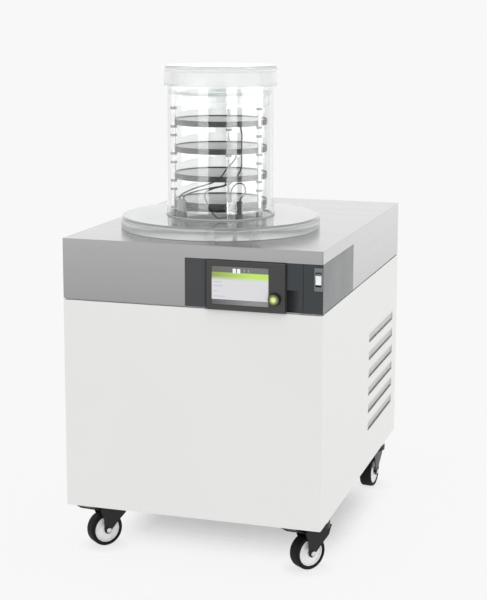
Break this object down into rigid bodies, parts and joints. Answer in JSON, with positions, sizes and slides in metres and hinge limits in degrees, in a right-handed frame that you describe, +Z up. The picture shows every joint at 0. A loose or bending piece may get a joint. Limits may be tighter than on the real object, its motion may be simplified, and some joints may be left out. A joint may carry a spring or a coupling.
{
  "type": "freeze dryer",
  "caption": "Floor-standing laboratory freeze dryer: white cabinet on castors, stainless head with a touch screen, and a clear drying drum with round shelves on top.",
  "frame": {"origin": "centre of the bounding box on the floor", "axes": "+Z up, front with the touch screen towards -Y, +X to the right seen from the front"},
  "size_m": [0.74, 1.0696, 1.38],
  "materials": {
    "white_paint": "satin powder coat",
    "galvanised": "zinc-coated sheet",
    "brushed_steel": "brushed stainless",
    "anthracite": "fine satin moulding",
    "screen": "lit glass screen",
    "lime": "satin",
    "white_plastic": "gloss",
    "grey_plastic": "satin",
    "clear_acrylic": "polished clear",
    "seal": "pale silicone",
    "bright_steel": "fine ground stainless",
    "black_rubber": "matt",
    "black_plastic": "matt",
    "copper": "drawn copper",
    "black_steel": "satin black",
    "tyre": "solid rubber",
    "hub": "satin"
  },
  "bodies": {
    "frame": {"cabinet_wrap": "white_paint", "rear_panel": "white_paint", "base_pan": "galvanised", "deck_plate": "galvanised", "head_shell": "brushed_steel", "control_panel": "anthracite", "display_bezel": "anthracite", "touch_screen": "screen", "switch_bezel": "grey_plastic", "base_plate": "clear_acrylic", "port_seal": "seal", "rack_plate": "bright_steel", "shelf_1": "bright_steel", "shelf_2": "bright_steel", "shelf_3": "bright_steel", "shelf_4": "bright_steel", "rack_rod_left": "bright_steel", "rack_rod_right": "bright_steel", "rack_rod_back": "bright_steel", "lead_1": "black_rubber", "lead_2": "black_rubber", "lead_3": "black_rubber", "lead_4": "black_rubber", "double_plug": "grey_plastic", "clear_plug": "clear_acrylic", "black_plug": "black_plastic", "condenser_pot": "bright_steel", "condenser_coil": "copper", "compressor": "black_steel", "radiator": "copper", "fan_frame": "black_steel", "control_box": "galvanised", "power_inlet": "black_plastic", "vacuum_port": "bright_steel", "castor_mount_front_left": "black_steel", "castor_mount_front_right": "black_steel", "castor_mount_back_left": "black_steel", "castor_mount_back_right": "black_steel"},
    "drum": {"drum": "clear_acrylic", "drum_seal": "seal"},
    "lid": {"lid": "clear_acrylic", "lid_seal": "seal"},
    "knob": {"selector_knob": "black_plastic", "knob_cap": "lime"},
    "rocker": {"power_rocker": "white_plastic"},
    "fan": {"fan_rotor": "grey_plastic"},
    "castor_front_left": {"castor_fork_front_left": "black_steel"},
    "wheel_front_left": {"wheel_hub_front_left": "hub", "tyre_front_left": "tyre"},
    "pedal_front_left": {"brake_pedal_front_left": "black_steel"},
    "castor_front_right": {"castor_fork_front_right": "black_steel"},
    "wheel_front_right": {"wheel_hub_front_right": "hub", "tyre_front_right": "tyre"},
    "pedal_front_right": {"brake_pedal_front_right": "black_steel"},
    "castor_back_left": {"castor_fork_back_left": "black_steel"},
    "wheel_back_left": {"wheel_hub_back_left": "hub", "tyre_back_left": "tyre"},
    "castor_back_right": {"castor_fork_back_right": "black_steel"},
    "wheel_back_right": {"wheel_hub_back_right": "hub", "tyre_back_right": "tyre"}
  },
  "joints": [
    {"name": "drum_lift", "type": "slide", "parent": "frame", "child": "drum", "axis": [0, 0, 1], "range_m": [0, 0.36]},
    {"name": "lid_lift", "type": "slide", "parent": "drum", "child": "lid", "axis": [0, 0, 1], "range_m": [0, 0.12]},
    {"name": "knob_turn", "type": "hinge", "parent": "frame", "child": "knob", "pos_m": [0.242, -0.5225, 0.783], "axis": [0, -1, 0], "continuous": true},
    {"name": "rocker_tilt", "type": "hinge", "parent": "frame", "child": "rocker", "pos_m": [0.358, -0.5012, 0.84], "axis": [1, 0, 0], "range_deg": [-14, 0]},
    {"name": "fan_spin", "type": "hinge", "parent": "frame", "child": "fan", "pos_m": [0.2317, 0.2618, 0.333], "axis": [1, 0, 0], "continuous": true},
    {"name": "swivel_front_left", "type": "hinge", "parent": "frame", "child": "castor_front_left", "pos_m": [-0.284, -0.3792, 0.1234], "axis": [0, 0, 1], "continuous": true},
    {"name": "roll_front_left", "type": "hinge", "parent": "castor_front_left", "child": "wheel_front_left", "pos_m": [-0.302, -0.40065, 0.04957], "axis": [-0.766, 0.6428, 0], "continuous": true},
    {"name": "brake_front_left", "type": "hinge", "parent": "castor_front_left", "child": "pedal_front_left", "pos_m": [-0.311, -0.41137, 0.108], "axis": [-0.766, 0.6428, 0], "range_deg": [-12, 0]},
    {"name": "swivel_front_right", "type": "hinge", "parent": "frame", "child": "castor_front_right", "pos_m": [0.324, -0.3792, 0.1234], "axis": [0, 0, 1], "continuous": true},
    {"name": "roll_front_right", "type": "hinge", "parent": "castor_front_right", "child": "wheel_front_right", "pos_m": [0.30676, -0.40126, 0.04957], "axis": [-0.788, 0.6157, 0], "continuous": true},
    {"name": "brake_front_right", "type": "hinge", "parent": "castor_front_right", "child": "pedal_front_right", "pos_m": [0.29814, -0.4123, 0.108], "axis": [-0.788, 0.6157, 0], "range_deg": [-12, 0]},
    {"name": "swivel_back_left", "type": "hinge", "parent": "frame", "child": "castor_back_left", "pos_m": [-0.284, 0.3738, 0.1234], "axis": [0, 0, 1], "continuous": true},
    {"name": "roll_back_left", "type": "hinge", "parent": "castor_back_left", "child": "wheel_back_left", "pos_m": [-0.28886, 0.34623, 0.04957], "axis": [-0.9848, 0.1736, 0], "continuous": true},
    {"name": "swivel_back_right", "type": "hinge", "parent": "frame", "child": "castor_back_right", "pos_m": [0.324, 0.3738, 0.1234], "axis": [0, 0, 1], "continuous": true},
    {"name": "roll_back_right", "type": "hinge", "parent": "castor_back_right", "child": "wheel_back_right", "pos_m": [0.32156, 0.34591, 0.04957], "axis": [-0.9962, 0.0872, 0], "continuous": true}
  ]
}
